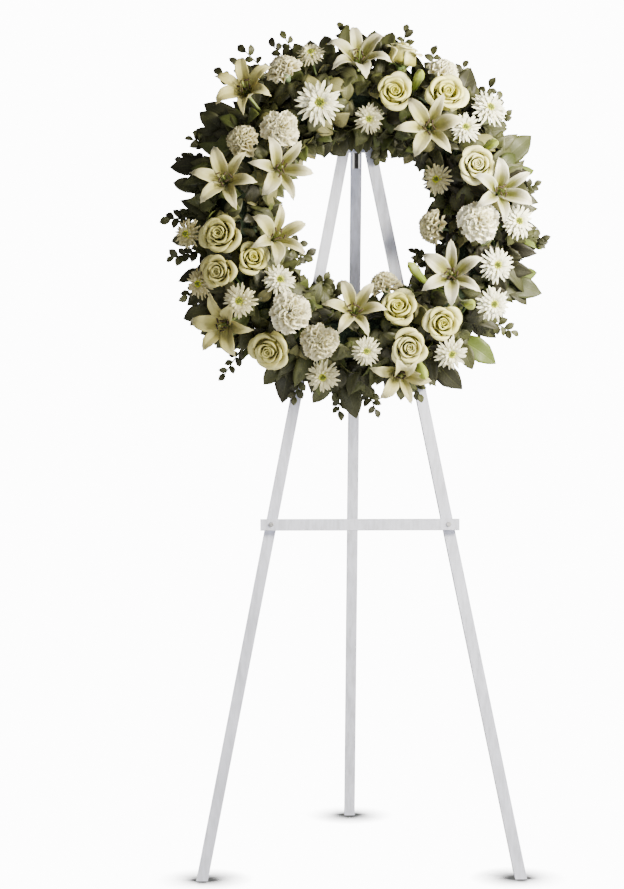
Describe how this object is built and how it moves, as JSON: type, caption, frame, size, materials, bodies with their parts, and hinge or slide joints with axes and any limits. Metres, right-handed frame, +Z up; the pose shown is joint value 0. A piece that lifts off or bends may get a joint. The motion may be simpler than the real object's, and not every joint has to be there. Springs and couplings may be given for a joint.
{
  "type": "funeral wreath on an easel",
  "caption": "Round standing wreath of white lilies, roses, carnations and chrysanthemums on a white wooden tripod easel with a folding back leg.",
  "frame": {"origin": "on the floor, under the middle of the easel's footprint, halfway between the front feet and the back foot", "axes": "+Z up, -Y towards the side that the flowers face, +X to the right of someone who looks at the flowers"},
  "size_m": [0.6162, 0.4992, 1.3543],
  "materials": {
    "painted_wood": "satin",
    "steel": "satin",
    "tray_plastic": "matte",
    "wet_foam": "matte",
    "lily_petals": "satin",
    "rose_petals": "satin",
    "carnation_petals": "matte",
    "chrysanthemum_petals": "matte",
    "foliage": "satin"
  },
  "bodies": {
    "front": {"front_leg_left": "painted_wood", "front_leg_right": "painted_wood", "crossbar": "painted_wood", "head_plate": "painted_wood", "hanging_peg": "painted_wood", "crossbar_screw_left": "steel", "crossbar_screw_right": "steel", "hinge_leaf_fixed": "steel", "hinge_pin": "steel", "ring_tray": "tray_plastic", "foam_ring": "wet_foam", "lily_01": "lily_petals", "lily_02": "lily_petals", "lily_03": "lily_petals", "lily_04": "lily_petals", "lily_05": "lily_petals", "lily_06": "lily_petals", "lily_07": "lily_petals", "lily_08": "lily_petals", "lily_09": "lily_petals", "lily_10": "lily_petals", "lily_11": "lily_petals", "rose_01": "rose_petals", "rose_02": "rose_petals", "rose_03": "rose_petals", "rose_04": "rose_petals", "rose_05": "rose_petals", "rose_06": "rose_petals", "rose_07": "rose_petals", "rose_08": "rose_petals", "rose_09": "rose_petals", "rose_10": "rose_petals", "rose_11": "rose_petals", "carnation_01": "carnation_petals", "carnation_02": "carnation_petals", "carnation_03": "carnation_petals", "carnation_04": "carnation_petals", "carnation_05": "carnation_petals", "carnation_06": "carnation_petals", "carnation_07": "carnation_petals", "carnation_08": "carnation_petals", "carnation_09": "carnation_petals", "mum_spray_01": "chrysanthemum_petals", "mum_spray_02": "chrysanthemum_petals", "mum_spray_03": "chrysanthemum_petals", "mum_spray_04": "chrysanthemum_petals", "mum_spray_05": "chrysanthemum_petals", "mum_spray_06": "chrysanthemum_petals", "greens_01": "foliage", "greens_02": "foliage", "greens_03": "foliage", "greens_04": "foliage", "greens_05": "foliage", "greens_06": "foliage", "greens_07": "foliage", "greens_08": "foliage", "greens_09": "foliage", "greens_10": "foliage"},
    "back_leg": {"back_leg": "painted_wood", "hinge_leaf_moving": "steel"}
  },
  "joints": [
    {"name": "back_leg_fold", "type": "hinge", "parent": "front", "child": "back_leg", "pos_m": [0, -0.0261, 1.1742], "axis": [-1, 0, 0], "range_deg": [0, 21]}
  ]
}
